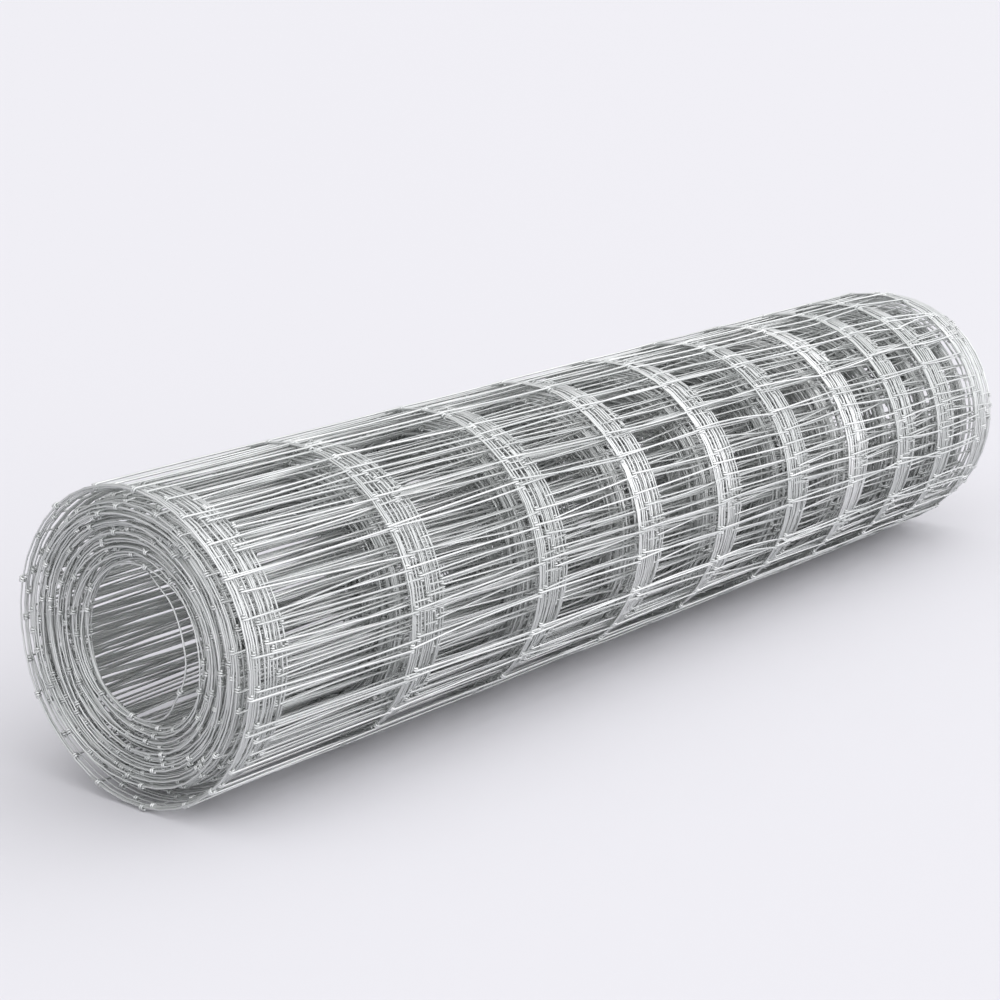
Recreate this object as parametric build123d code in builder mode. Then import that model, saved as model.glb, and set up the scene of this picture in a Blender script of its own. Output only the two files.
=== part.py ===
"""A roll of hinge-joint wire fencing, lying on its side.

The fence is ten line wires, spaced wider towards its top edge, with cross
wires (stays) wrapped round them. Rolled up it is one turned solid here:
a wall of turns round an open bore, a raised ring over each line wire where
the knots stand proud, and the edges of the turns showing on both ends.

Millimetres. +X runs along the roll, +Z is up, and the origin is on the floor
below the middle of the roll. The top edge of the fence is the -X end.
"""

import os

from build123d import *

os.makedirs("parts", exist_ok=True)

# The fence, as it would lie flat: 46.5 in high between its edge wires. The nine gaps
# between line wires narrow from the top edge (the -X end of the roll) to the bottom edge.
fence_height = 1181.1
gap_shares = [7.7, 6.9, 6.0, 5.3, 5.0, 4.7, 4.0, 3.5, 3.4]
line_wire_diameter = 2.0
knot_diameter = 8.0

# The roll. Both diameters are measured over the knots. Its turns lie closer than their
# wires are thick, so not every one shows on the ends: the outer turns make small steps
# there, and the inner turns have bunched into ridges of several turns each.
outer_diameter = 280.0
bore_diameter = 132.0
shell_steps = 11
core_ridges = 8
step_height = 1.5

# How far the turns have slid along the axis. The outermost turn leads at the -X end and
# each step below it lags more, as far as the crest. From there the lag runs back to
# little at the first ridge, and the ridges lag a little more towards the bore.
crest_step = 6
crest_lag = 54.0
core_lag = 4.0
bore_lag = 17.0

# How the ridges and the rows of knots show on the solid.
ridge_groove_depth = 5.0
knot_ring_crown = 3.0

# Places that follow from the sizes above.
knot_radius = knot_diameter / 2
line_wire_radius = line_wire_diameter / 2
outer_radius = outer_diameter / 2
bore_radius = bore_diameter / 2
outer_turn_radius = outer_radius - knot_radius
core_radius = outer_turn_radius - shell_steps * step_height
inner_turn_radius = bore_radius + knot_radius
ridge_pitch = (core_radius - inner_turn_radius) / (core_ridges - 1)
body_radius = outer_turn_radius + line_wire_radius
row_gaps = [fence_height * share / sum(gap_shares) for share in gap_shares]
length = fence_height + crest_lag + knot_diameter
first_row = -length / 2 + knot_radius
last_row = first_row + fence_height


def turn_edges():
    """Radius and lag of each turn's edge that shows on the ends, from the outermost inwards."""
    edges = []
    for step in range(shell_steps):
        if step <= crest_step:
            lag = crest_lag * step / crest_step
        else:
            back = (step - crest_step) / (shell_steps - crest_step)
            lag = crest_lag + (core_lag - crest_lag) * back
        edges.append((outer_turn_radius - step * step_height, lag))
    for ridge in range(core_ridges):
        lag = core_lag + (bore_lag - core_lag) * ridge / (core_ridges - 1)
        edges.append((core_radius - ridge * ridge_pitch, lag))
    return edges


def end_profile(row, outward):
    """Corners of one end of the wall, from the bore out.

    There is a corner at each edge, and a groove before the next edge where the two are
    further apart than a line wire.
    """
    edges = [(row + lag + outward * knot_radius, radius) for radius, lag in turn_edges()]
    edges.reverse()
    corners = [(edges[0][0], bore_radius)]
    for (face, radius), (next_face, next_radius) in zip(edges, edges[1:]):
        corners.append((face, radius))
        if next_radius - radius > line_wire_diameter:
            groove = (face + next_face) / 2 - outward * ridge_groove_depth
            corners.append((groove, (radius + next_radius) / 2))
    corners += [edges[-1], (edges[-1][0], body_radius)]
    return corners


near_end = end_profile(first_row, -1)
far_end = end_profile(last_row, 1)

roll_plane = Plane(origin=(0, 0, outer_radius), x_dir=(1, 0, 0), z_dir=(0, -1, 0))
roll_axis = Axis((0, 0, outer_radius), (1, 0, 0))

with BuildPart() as fence_roll:
    # The wound wall: the bore, the edges of the turns on both ends and a plain outside.
    with BuildSketch(roll_plane):
        with BuildLine():
            Polyline(*near_end, *reversed(far_end), close=True)
        make_face()
    revolve(axis=roll_axis)

    # A raised ring over each line wire, where the knots of the outermost turn stand proud.
    # Its foot is sunk into the wall by half a wire, so that the two make one solid.
    with BuildSketch(roll_plane):
        for row in range(len(row_gaps) + 1):
            place = first_row + sum(row_gaps[:row])
            with BuildLine():
                Polyline(
                    (place - knot_radius, outer_turn_radius),
                    (place - knot_radius, body_radius),
                    (place - knot_ring_crown / 2, outer_radius),
                    (place + knot_ring_crown / 2, outer_radius),
                    (place + knot_radius, body_radius),
                    (place + knot_radius, outer_turn_radius),
                    close=True,
                )
            make_face()
    revolve(axis=roll_axis)

fence_roll.part.label = "fence_roll"
export_step(fence_roll.part, "parts/fence_roll.step")
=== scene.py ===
# %% [markdown]
# # A roll of hinge-joint wire fencing
#
# Field fencing is ten line wires that run the length of the fence, with cross wires, called
# stays, every four inches. Each stay is cut into nine lengths, and both ends of a length are
# wrapped round a line wire, which makes the joint a hinge. Rolled up, the line wires turn into
# ten bands of rings and the stays into bars that run the length of the roll.
#
# The CAD part is one turned solid that stands in for all of it. This script weaves the fence
# flat, wire by wire, and then winds it up inside the CAD solid's box. Sizes are millimetres, and
# they become Blender's metres where something is handed to Blender.

import math

import bpy
import numpy as np
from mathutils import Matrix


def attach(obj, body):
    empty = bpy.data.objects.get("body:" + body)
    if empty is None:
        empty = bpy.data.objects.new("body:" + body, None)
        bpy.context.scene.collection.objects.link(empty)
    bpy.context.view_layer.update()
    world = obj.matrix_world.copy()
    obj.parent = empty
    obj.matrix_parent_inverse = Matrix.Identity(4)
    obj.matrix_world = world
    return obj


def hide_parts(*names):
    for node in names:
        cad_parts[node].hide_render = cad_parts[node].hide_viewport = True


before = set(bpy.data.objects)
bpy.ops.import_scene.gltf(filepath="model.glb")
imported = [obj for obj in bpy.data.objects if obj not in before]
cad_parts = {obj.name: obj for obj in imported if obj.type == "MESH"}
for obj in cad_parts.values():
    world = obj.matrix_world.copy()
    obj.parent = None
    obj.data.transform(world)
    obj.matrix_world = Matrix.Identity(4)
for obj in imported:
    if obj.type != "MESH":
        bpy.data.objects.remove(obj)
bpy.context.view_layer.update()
rng = np.random.default_rng(7)
MM = 0.001

# %% [markdown]
# ## What the CAD solid says
#
# The solid carries a raised ring over each line wire. The two edges of a ring's crown lie at the
# largest radius, so the places of the ten line wires along the roll are read from there. They
# could be typed in again, but then a change to the solid would leave the wires behind.

# %% Reading the rows from the solid
CROWN_TOLERANCE = 0.3

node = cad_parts["fence_roll"]
solid = np.empty(len(node.data.vertices) * 3)
node.data.vertices.foreach_get("co", solid)
solid = solid.reshape(-1, 3) / MM
OUTER_RADIUS = (solid[:, 2].max() - solid[:, 2].min()) / 2
from_axis = np.hypot(solid[:, 1], solid[:, 2] - OUTER_RADIUS)
crowns = np.unique(solid[from_axis > OUTER_RADIUS - CROWN_TOLERANCE, 0].round(1))
ROWS = crowns.reshape(-1, 2).mean(axis=1)
TOP_EDGE = ROWS[0]
print("outer radius", round(OUTER_RADIUS, 2), "rows at", (ROWS - TOP_EDGE).round(1))

# %% [markdown]
# ## How far out each turn lies
#
# Seventy-six turns, counted from the loose outer end, hold about fifty metres of fence. The
# innermost half turn has let go of the wall and hangs free in the bore.
#
# A spiral of one pitch would be the simplest way. Here the radius is a straight run between a few
# named turns instead, so that the outer turns, the core and the hanging end each have their own
# pitch. Number of turns and pitch are guesses: they make the roll as opaque as the real one.

# %% Radius of the turns
WIRE = 2.0
# A wrapped end is one more wire round the line wire, so it reaches one and a half wires out.
KNOT_RADIUS = 1.5 * WIRE
ROOM_FOR_WAVES = 0.5
OUTER_WIRE = OUTER_RADIUS - KNOT_RADIUS - ROOM_FOR_WAVES
CREST_TURN, CREST_RADIUS = 12, 127.0
CORE_TURN, CORE_RADIUS = 22, 119.5
WALL_TURNS, INNER_WIRE = 76, 70.0
HANGING_RADIUS = 58.0
LAST_TURN = WALL_TURNS + 0.57
# The run of radii goes on a little past both ends, so that wires may stick out of the fence.
BEFORE_START, PAST_END = -0.2, WALL_TURNS + 1

radius_at_turn = [
    (BEFORE_START, OUTER_WIRE),
    (0, OUTER_WIRE),
    (CREST_TURN, CREST_RADIUS),
    (CORE_TURN, CORE_RADIUS),
    (WALL_TURNS, INNER_WIRE),
    (WALL_TURNS + 0.16, HANGING_RADIUS),
    (WALL_TURNS + 0.46, HANGING_RADIUS),
    (LAST_TURN, INNER_WIRE + 0.5),
    (PAST_END, INNER_WIRE + 1.0),
]
wall_turns, wall_radii = np.array(radius_at_turn).T
print("wires lie at radii from", OUTER_WIRE.round(2), "down to", INNER_WIRE, "in", WALL_TURNS, "turns")

# %% [markdown]
# ## How far each turn has slid
#
# The turns have slid along the axis of the roll. The outermost turn leads at the near end, the
# turns under it lag further and further as far as a crest, and then they come back. From there
# to the bore the edge runs to and fro in small ridges of several turns each.
#
# The lag could be a number for each of the 76 turns. It hangs on the radius instead, as a
# straight run between the crest, the ridges and the grooves, so that it stays put when the
# number of turns changes.

# %% Lag of the edge
CREST_LAG = 54.0
FIRST_RIDGE_LAG, BORE_LAG, HANGING_LAG = 4, 17, 12
RIDGES, RIDGE_DEPTH = 8, 9.0

outer_radii = [OUTER_WIRE, OUTER_WIRE - 0.8, OUTER_WIRE - 2.4, CREST_RADIUS]
outer_lags = [0.6, 3.6, 9.5, CREST_LAG]
ridge_radii = np.linspace(CORE_RADIUS, INNER_WIRE, RIDGES)
ridge_lags = np.linspace(FIRST_RIDGE_LAG, BORE_LAG, RIDGES)
groove_radii = (ridge_radii[1:] + ridge_radii[:-1]) / 2
groove_lags = (ridge_lags[1:] + ridge_lags[:-1]) / 2 + RIDGE_DEPTH
edge_radii = np.array([*outer_radii, *ridge_radii, *groove_radii, HANGING_RADIUS])
edge_lags = np.array([*outer_lags, *ridge_lags, *groove_lags, HANGING_LAG])
order = np.argsort(edge_radii)
edge_radii, edge_lags = edge_radii[order], edge_lags[order]
print("lag of the edge, from the bore out", edge_lags.round(1))

# %% [markdown]
# ## Waves, and a roll that isn't true
#
# A roll wound by hand is nowhere quite round or flat. Noise on every point would break the wires
# up, so everything is a smooth function of the turn number: sums of sines for the unevenness,
# and ramps that bring each of them in over a few turns. The ramps count in turns. The edge has
# also slid less on the side that faces away from the camera (+Y), though the core lags a little
# more there.

# %% Waves and ramps


def waves(turn, amplitude, slowest, count, seed):
    """A sum of sines of the turn number.

    The slowest sine has that many cycles in a turn, and each next one is 1.55 times as fast.
    Its size is the amplitude divided by its place in the row to the power 0.8.
    """
    source = np.random.default_rng(seed)
    speed = slowest * 1.55 ** np.arange(count)
    phase = source.uniform(0, 2 * np.pi, count)
    size = amplitude / (1 + np.arange(count)) ** 0.8
    return (size * np.sin(2 * np.pi * speed * np.asarray(turn)[..., None] + phase)).sum(-1)


def ramp(turn, start, end):
    """0 up to one turn number, 1 from another on, and a straight run between the two."""
    return np.clip((turn - start) / (end - start), 0, 1)


# %% Winding
START_ANGLE = math.radians(280.0)
LOOSE_FROM, LOOSE_TO = 16, 24
LESS_AT_THE_BACK = 0.45
CORE_LEAN = 6.0
LAG_MARGIN = 0.5


def winding(turn):
    """Angle, radius and lag of the fence at a turn number. The angle is 0 at +Y and 90 upwards.

    The lag is the edge's, made smaller towards +Y, plus waves. Where the turns are loose there
    are more waves, and further in a lean of the core towards +Y. The lag is held between the
    outermost turn and the crest, so that no wire leaves the solid's box. The radius is the
    turn's, plus waves.
    """
    turn = np.asarray(turn, float)
    angle = START_ANGLE - 2 * np.pi * turn
    to_the_back = np.cos(angle)
    loose = ramp(turn, LOOSE_FROM, LOOSE_TO)
    radius = np.interp(turn, wall_turns, wall_radii)

    slid = 1 - LESS_AT_THE_BACK * np.clip(to_the_back, 0, 1) * ramp(turn, 0.9, 3.9)
    lag = slid * np.interp(radius, edge_radii, edge_lags)
    lag = lag + waves(turn, amplitude=1.2, slowest=0.8, count=6, seed=3) * ramp(turn, 0.3, 1.3)
    lean = CORE_LEAN * to_the_back * ramp(turn, 20, 40)
    lag = lag + loose * (waves(turn, amplitude=3.4, slowest=0.5, count=4, seed=4) + lean)
    lag = np.clip(lag, LAG_MARGIN, CREST_LAG - LAG_MARGIN)

    radius = radius + waves(turn, amplitude=0.45, slowest=0.9, count=6, seed=1) * ramp(turn, 0, 1)
    radius = radius + loose * waves(turn, amplitude=1.3, slowest=0.6, count=6, seed=2)
    return angle, radius, lag


# %% [markdown]
# ## From a flat fence to a roll
#
# Everything is woven flat, with three measures for a point: how far along the fence, how far
# across it, and how far outwards. Winding turns the length into a turn number. The Simple Deform
# modifier can bend a flat mesh, but into one arc of one radius, and not into 76 turns that also
# slide sideways. A function of the three measures does both.

# %% Winding up flat points
FINE_STEPS = 40000
fine_turns = np.linspace(BEFORE_START, PAST_END, FINE_STEPS)
fine_radius = np.interp(fine_turns, wall_turns, wall_radii)
fine_length = np.concatenate([[0], np.cumsum(2 * np.pi * fine_radius[1:] * np.diff(fine_turns))])
fine_length -= np.interp(0, fine_turns, fine_length)
FENCE_LENGTH = np.interp(LAST_TURN, fine_turns, fine_length)


def wind(flat):
    """Winds up points of the flat fence: (length along it, height across it, distance outwards).

    The height becomes the place along the axis, moved by the lag. The length becomes an angle,
    and radius and outward distance together are the distance from the axis.
    """
    turn = np.interp(flat[..., 0], fine_length, fine_turns)
    angle, radius, lag = winding(turn)
    radius = radius + flat[..., 2]
    across = TOP_EDGE + flat[..., 1] + lag
    return np.stack([across, radius * np.cos(angle), OUTER_RADIUS + radius * np.sin(angle)], -1)


print("fence length", round(FENCE_LENGTH), "mm in", LAST_TURN, "turns")

# %% [markdown]
# ## Wires as tubes
#
# A wire is a round bar bent to a path. A Blender curve with a round bevel would do for one of
# them, but there are more than four thousand tubes here and all have to go through the winding.
# So all paths of one kind are done at once: the points of a tube's skin are the path point plus
# a circle in the plane square to the path.

# %% Tubes


def tubes(paths, radius, reference, sides):
    """Skins of many tubes: paths is (tubes, stations, 3), and so is the result with a sides axis.

    The reference is a direction that no path of the kind runs along. Its part square to the path
    says where the circle starts, and the direction square to both completes the circle's plane.
    """
    along = np.gradient(paths, axis=1)
    along /= np.linalg.norm(along, axis=-1, keepdims=True)
    first = reference - (along * reference).sum(-1, keepdims=True) * along
    first /= np.linalg.norm(first, axis=-1, keepdims=True)
    second = np.cross(along, first)
    around = 2 * np.pi * np.arange(sides) / sides
    circle = first[:, :, None] * np.cos(around)[:, None] + second[:, :, None] * np.sin(around)[:, None]
    return paths[:, :, None] + radius * circle


# %% Pieces


def wire_piece(name, groups, material):
    """One object out of groups of skins, each (tubes, stations, sides, 3) in the wound roll.

    Quads run between neighbouring stations, and one many-sided face closes each end. The strand
    attribute is one random number for each tube, so that no two wires have quite the same shade.
    """
    points, corners, sizes, strands = [], [], [], []
    base = 0
    for skin in groups:
        count, stations, sides = skin.shape[:3]
        index = base + np.arange(count * stations * sides).reshape(count, stations, sides)
        turned = np.roll(index, -1, axis=2)
        quads = np.stack([index[:, :-1], turned[:, :-1], turned[:, 1:], index[:, 1:]], -1)
        caps = np.concatenate([index[:, 0, ::-1], index[:, -1]])
        corners += [quads.ravel(), caps.ravel()]
        sizes += [np.full(quads.size // 4, 4), np.full(len(caps), sides)]
        points.append(skin.reshape(-1, 3))
        strands.append(np.repeat(rng.uniform(0, 1, count), stations * sides))
        base += skin[..., 0].size
    points, corners, sizes = np.concatenate(points), np.concatenate(corners), np.concatenate(sizes)
    mesh = bpy.data.meshes.new(name)
    mesh.vertices.add(len(points))
    mesh.vertices.foreach_set("co", (points * MM).ravel())
    mesh.loops.add(len(corners))
    mesh.loops.foreach_set("vertex_index", corners)
    mesh.polygons.add(len(sizes))
    mesh.polygons.foreach_set("loop_start", np.cumsum(sizes) - sizes)
    mesh.polygons.foreach_set("use_smooth", np.ones(len(sizes), bool))
    mesh.update(calc_edges=True)
    mesh.validate()
    strand = mesh.attributes.new("strand", "FLOAT", "POINT")
    strand.data.foreach_set("value", np.concatenate(strands))
    mesh.materials.append(material)
    piece = bpy.data.objects.new(name, mesh)
    bpy.context.scene.collection.objects.link(piece)
    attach(piece, "root")
    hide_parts("fence_roll")
    print(name, len(points), "points,", (sizes - 2).sum(), "triangles")
    return piece


# %% [markdown]
# ## Galvanised wire
#
# The wire is steel drawn through molten zinc. New zinc is a bright, slightly blue grey metal with
# a satin shine: to the eye, soft highlights along each wire and no mirror image.
#
# One plain grey metal would make all the wires look cut from one bar. The coating dulls unevenly,
# so colour and roughness drift along the wire in patches, and each strand has its own shade. The
# bump stands for the unevenness where the zinc was wiped. The real one is finer than a wire is
# thick, and it is drawn 4 mm long so that it shows.

# %% Nodes and colours


def linear(code):
    """The linear colour of an sRGB hex code: the standard curve, with its straight foot."""
    value = np.array([int(code[i : i + 2], 16) for i in (1, 3, 5)]) / 255
    value = np.where(value <= 0.04045, value / 12.92, ((value + 0.055) / 1.055) ** 2.4)
    return (*value.tolist(), 1.0)


def add(tree, kind, settings=(), **links):
    """Adds a node, sets its attributes or input values, and links outputs to its inputs by name."""
    made = tree.nodes.new(kind)
    for key, value in dict(settings).items():
        if isinstance(key, str) and hasattr(made, key):
            setattr(made, key, value)
        else:
            made.inputs[key].default_value = value
    for key, output in links.items():
        tree.links.new(output, made.inputs[key.replace("_", " ")])
    return made


def new_material(name):
    """A material with an empty node tree, and that tree."""
    material = bpy.data.materials.new(name)
    material.use_nodes = True
    material.node_tree.nodes.clear()
    return material, material.node_tree


# %% Zinc
PATCH_SIZE, SPECK_SIZE = 45 * MM, 4 * MM
SPECK_HEIGHT = 0.2 * MM
BRIGHT_ZINC, DULL_ZINC = "#ECEDEC", "#D2D4D3"
BRIGHT_UP_TO, DULL_FROM = 0.35, 0.958333
STRAND_SHARE = 0.6
SATIN, MATT = 0.44, 0.62

zinc, tree = new_material("hot-dip galvanised steel wire")
place = add(tree, "ShaderNodeTexCoord").outputs["Object"]
strand = add(tree, "ShaderNodeAttribute", {"attribute_name": "strand"})
patches = add(tree, "ShaderNodeTexNoise", {"Scale": 1 / PATCH_SIZE, "Detail": 3.0}, Vector=place)
specks = add(tree, "ShaderNodeTexNoise", {"Scale": 1 / SPECK_SIZE, "Detail": 2.0}, Vector=place)
# Dullness is the strand's number times its share, plus the patches. The Math node's three inputs
# share one name, so they are linked by number.
dullness = add(tree, "ShaderNodeMath", {"operation": "MULTIPLY_ADD", 1: STRAND_SHARE})
tree.links.new(strand.outputs["Fac"], dullness.inputs[0])
tree.links.new(patches.outputs["Fac"], dullness.inputs[2])
shade = add(tree, "ShaderNodeValToRGB", Fac=dullness.outputs[0])
bright_stop, dull_stop = shade.color_ramp.elements
bright_stop.position, bright_stop.color = BRIGHT_UP_TO, linear(BRIGHT_ZINC)
dull_stop.position, dull_stop.color = DULL_FROM, linear(DULL_ZINC)
rough_range = {"From Min": 0.3, "From Max": 1.1, "To Min": SATIN, "To Max": MATT}
rough = add(tree, "ShaderNodeMapRange", rough_range, Value=dullness.outputs[0])
bump = add(
    tree,
    "ShaderNodeBump",
    {"Strength": 0.25, "Distance": SPECK_HEIGHT},
    Height=specks.outputs["Fac"],
)
metal = add(
    tree,
    "ShaderNodeBsdfPrincipled",
    {"Metallic": 1.0},
    Base_Color=shade.outputs["Color"],
    Roughness=rough.outputs["Result"],
    Normal=bump.outputs["Normal"],
)
add(tree, "ShaderNodeOutputMaterial", Surface=metal.outputs["BSDF"])
print("material", zinc.name, "with", len(tree.nodes), "nodes")

# %% [markdown]
# ## The line wires
#
# Ten wires run the whole length of the fence. Each could be drawn as a spiral of its own. Their
# paths are straight in the flat fence instead, apart from a slight wander, so the same winding
# that bends the stays makes them rings, and the two kinds stay together.

# %% Line wires
STEPS_PER_TURN = 40
LINE_SIDES = 4
# The line wires start a little before the first turn, where they were cut.
LINE_START = -0.04
OUTWARDS = np.array([0.0, 0.0, 1.0])
heights = ROWS - TOP_EDGE

line_turns = np.linspace(LINE_START, LAST_TURN, int(LAST_TURN * STEPS_PER_TURN))
line_lengths = np.interp(line_turns, fine_turns, fine_length)


def line_wire(row):
    """The wound skin of one line wire: a straight path at its height with a slight wander."""
    wander = waves(line_turns, amplitude=0.35, slowest=1.7, count=6, seed=20 + row)
    bulge = waves(line_turns, amplitude=0.2, slowest=2.3, count=5, seed=40 + row) * ramp(line_turns, 0, 1)
    path = np.stack([line_lengths, heights[row] + wander, bulge], -1)[None]
    return wind(tubes(path, WIRE / 2, OUTWARDS, LINE_SIDES))


for name, rows in (("line_wires_upper", range(5)), ("line_wires_lower", range(5, 10))):
    wire_piece(name, [line_wire(row) for row in rows], zinc)

# %% [markdown]
# ## Where the stays cross
#
# A stay should cross all ten line wires in one straight row, four inches after the last one. The
# machine isn't that exact, and winding pulls the fence askew. So each stay gets a small error of
# place and a lean, and each of its crossings a small error of its own.

# %% Crossings
STAY_SPACING = 101.6
FIRST_STAY, ROOM_AFTER_LAST_STAY = 22.0, 40
PLACE_ERROR, LEAN_ERROR, CROSSING_ERROR = 3.0, 5.0, 3.0

stay_places = np.arange(FIRST_STAY, FENCE_LENGTH - ROOM_AFTER_LAST_STAY, STAY_SPACING)
stay_places += rng.normal(0, PLACE_ERROR, len(stay_places))
lean = rng.normal(0, LEAN_ERROR, len(stay_places))[:, None] * np.linspace(-1, 1, len(ROWS))
drift = rng.normal(0, CROSSING_ERROR, (len(stay_places), len(ROWS)))
knots = stay_places[:, None] + lean + drift
stay_turns = np.interp(stay_places, fine_length, fine_turns)
print(len(stay_places), "stays with", knots.size, "crossings")

# %% [markdown]
# ## The stays and their knots
#
# A stay runs straight from one line wire to the next. At each end it goes over the line wire and
# round it about one and a half times, and is cut off. The length above and the length below wrap
# side by side on the same line wire. Seen along the line wire, a wrapped end is a circle, and
# its tube moves sideways by one wire thickness for each time round.
#
# One modelled knot could be copied to every crossing, but then the stays would have to be fitted
# to the copies. Knot and stay are one path here, as they are one wire in the fence.

# %% Wrapped ends
WRAPS, EDGE_WRAPS = 1.6, 2.1
WRAP_PITCH = 1.06 * WIRE


def wrapped_end(row, line_place, towards, turns):
    """A stay's end round a line wire: a circle about it that moves sideways as it goes round.

    Towards is 1 where the stay leaves for the next row and -1 where it comes from the last one.
    Turns are counted from the place where it leaves the line wire.
    """
    around = 2 * np.pi * turns
    along = line_place[:, None] + towards * WRAP_PITCH * (0.5 + np.abs(turns))
    across = heights[row] + WIRE * np.sin(around)
    outwards = WIRE * np.cos(around)
    return np.stack([along, *np.broadcast_arrays(across, outwards, along)[:2]], -1)


# %% Lengths of stay
SIDE_BOW = 1.4
INWARD_BOW, INWARD_BOW_ERROR = 0.5, 0.4
ALONG_THE_FENCE = np.array([1.0, 0.0, 0.0])


def stay_lengths(gap, chosen, steps, sides):
    """The wound skins of the chosen stays' lengths in one gap between line wires.

    A length is a wrapped end, a run bowed by half a sine, and another wrapped end. Steps is the
    number of stations for each time round a line wire.
    """
    low, high = gap, gap + 1
    low_wraps = EDGE_WRAPS if low == 0 else WRAPS
    high_wraps = EDGE_WRAPS if high == len(ROWS) - 1 else WRAPS
    low_turns = np.linspace(-low_wraps, 0, round(low_wraps * steps) + 1)
    high_turns = np.linspace(0, high_wraps, round(high_wraps * steps) + 1)
    lower = wrapped_end(low, knots[chosen, low], 1, low_turns)
    upper = wrapped_end(high, knots[chosen, high], -1, high_turns)
    count = len(lower)
    sideways = rng.normal(0, SIDE_BOW, count)
    outwards = rng.normal(-INWARD_BOW, INWARD_BOW_ERROR, count)
    bow = np.stack([sideways, np.zeros(count), outwards], -1)
    share = np.linspace(0, 1, steps // 2 + 1)[1:-1, None]
    straight = lower[:, -1:] * (1 - share) + upper[:, :1] * share
    middle = straight + bow[:, None] * np.sin(np.pi * share)
    paths = np.concatenate([lower, middle, upper], axis=1)
    return wind(tubes(paths, WIRE / 2, ALONG_THE_FENCE, sides))


# %% [markdown]
# ## Fine where it shows
#
# Five-sided tubes for every stay would be too many triangles for a reusable part. The outer
# turns and the ones round the bore are seen best, so the stays between them get fewer stations
# and sides. In the gap at the near end, where the edges of all turns show, they get a few more.

# %% Stays
TURNS_SEEN_OUTSIDE, TURNS_SEEN_IN_BORE = 6, 3
# Stations for each time round a line wire, and sides.
FINE, COARSE_AT_EDGE, COARSE = (9, 5), (6, 4), (5, 3)

in_view = (stay_turns < TURNS_SEEN_OUTSIDE) | (stay_turns > WALL_TURNS - TURNS_SEEN_IN_BORE)


def gap_skins(gap):
    """Fine skins for the stays that show, and coarse ones for those deep in the wall."""
    deep = COARSE_AT_EDGE if gap == 0 else COARSE
    return [stay_lengths(gap, in_view, *FINE), stay_lengths(gap, ~in_view, *deep)]


for number, gaps in enumerate(((0,), (1, 2), (3, 4), (5, 6), (7, 8)), 1):
    wire_piece(f"stays_{number}", [skin for gap in gaps for skin in gap_skins(gap)], zinc)

# %% [markdown]
# ## Floor
#
# The roll lies on pale studio paper. A floor that curves up behind the roll is the usual way. A
# wide flat one is simpler, and from this camera height its far part is the background.

# %% Paper floor
FLOOR_SIZE = 40000
paper, tree = new_material("pale studio floor")
paper_shader = add(tree, "ShaderNodeBsdfPrincipled", {"Base Color": linear("#D2D1D5"), "Roughness": 0.9})
add(tree, "ShaderNodeOutputMaterial", Surface=paper_shader.outputs["BSDF"])
bpy.ops.mesh.primitive_plane_add(size=FLOOR_SIZE * MM, location=(0, 0, 0))
floor = bpy.context.object
floor.name = "floor"
floor.data.materials.append(paper)
print("floor", FLOOR_SIZE, "mm wide")

# %% [markdown]
# ## Light
#
# The light is soft and comes from the front, where the camera is, and from above. Lamps could
# give it. Here it is a sky alone: its strength grows evenly from the dark side behind the roll
# to the bright side in front. It has no lamp whose edge would show in the metal, and it gives
# the roll a soft shadow.

# %% Sky
FRONT_AND_UP = (0.05, -0.96, 0.27)
DARK_SIDE, BRIGHT_SIDE = 0.1, 2.25
world = bpy.data.worlds.new("studio")
bpy.context.scene.world = world
world.use_nodes = True
sky = world.node_tree
direction = add(sky, "ShaderNodeTexCoord")
facing = add(sky, "ShaderNodeVectorMath", {"operation": "DOT_PRODUCT", 1: FRONT_AND_UP})
sky.links.new(direction.outputs["Generated"], facing.inputs[0])
strength_range = {"From Min": -1.0, "From Max": 1.0, "To Min": DARK_SIDE, "To Max": BRIGHT_SIDE}
glow = add(sky, "ShaderNodeMapRange", strength_range, Value=facing.outputs["Value"])
sky.nodes["Background"].inputs["Color"].default_value = linear("#FDFDFF")
sky.links.new(glow.outputs["Result"], sky.nodes["Background"].inputs["Strength"])
print("sky from", DARK_SIDE, "at the back to", BRIGHT_SIDE, "at the front")

# %% [markdown]
# ## Camera
#
# The camera's place, direction and focal length come from a fit to the ten rings and the outline
# in the photograph. A fit gives the focal length in pixels, so it is turned into millimetres of
# the camera's sensor, and the middle of the picture into a small shift.

# %% Camera
CAMERA_FROM_NEAR_END = np.array([-1330.0, -1455.1, 764.3])
PITCH, YAW = 0.2511, 0.6752
FOCAL_PIXELS, IMAGE_PIXELS = 2499, 1000
MIDDLE_X, MIDDLE_Y = 502, 501
SENSOR_WIDTH = 36.0
FARTHEST_SEEN = 100000

camera_data = bpy.data.cameras.new("camera")
camera_data.sensor_width = SENSOR_WIDTH
camera_data.lens = SENSOR_WIDTH * FOCAL_PIXELS / IMAGE_PIXELS
camera_data.shift_x = (IMAGE_PIXELS / 2 - MIDDLE_X) / IMAGE_PIXELS
camera_data.shift_y = (MIDDLE_Y - IMAGE_PIXELS / 2) / IMAGE_PIXELS
camera_data.clip_end = FARTHEST_SEEN * MM
camera = bpy.data.objects.new("camera", camera_data)
camera.location = (np.array([TOP_EDGE, 0, 0]) + CAMERA_FROM_NEAR_END) * MM
camera.rotation_euler = (math.pi / 2 - PITCH, 0, YAW - math.pi / 2)
bpy.context.scene.collection.objects.link(camera)
bpy.context.scene.camera = camera
bpy.context.scene.view_settings.view_transform = "Standard"
print("camera at", np.round(camera.location, 3), "with a lens of", round(camera_data.lens, 1), "mm")
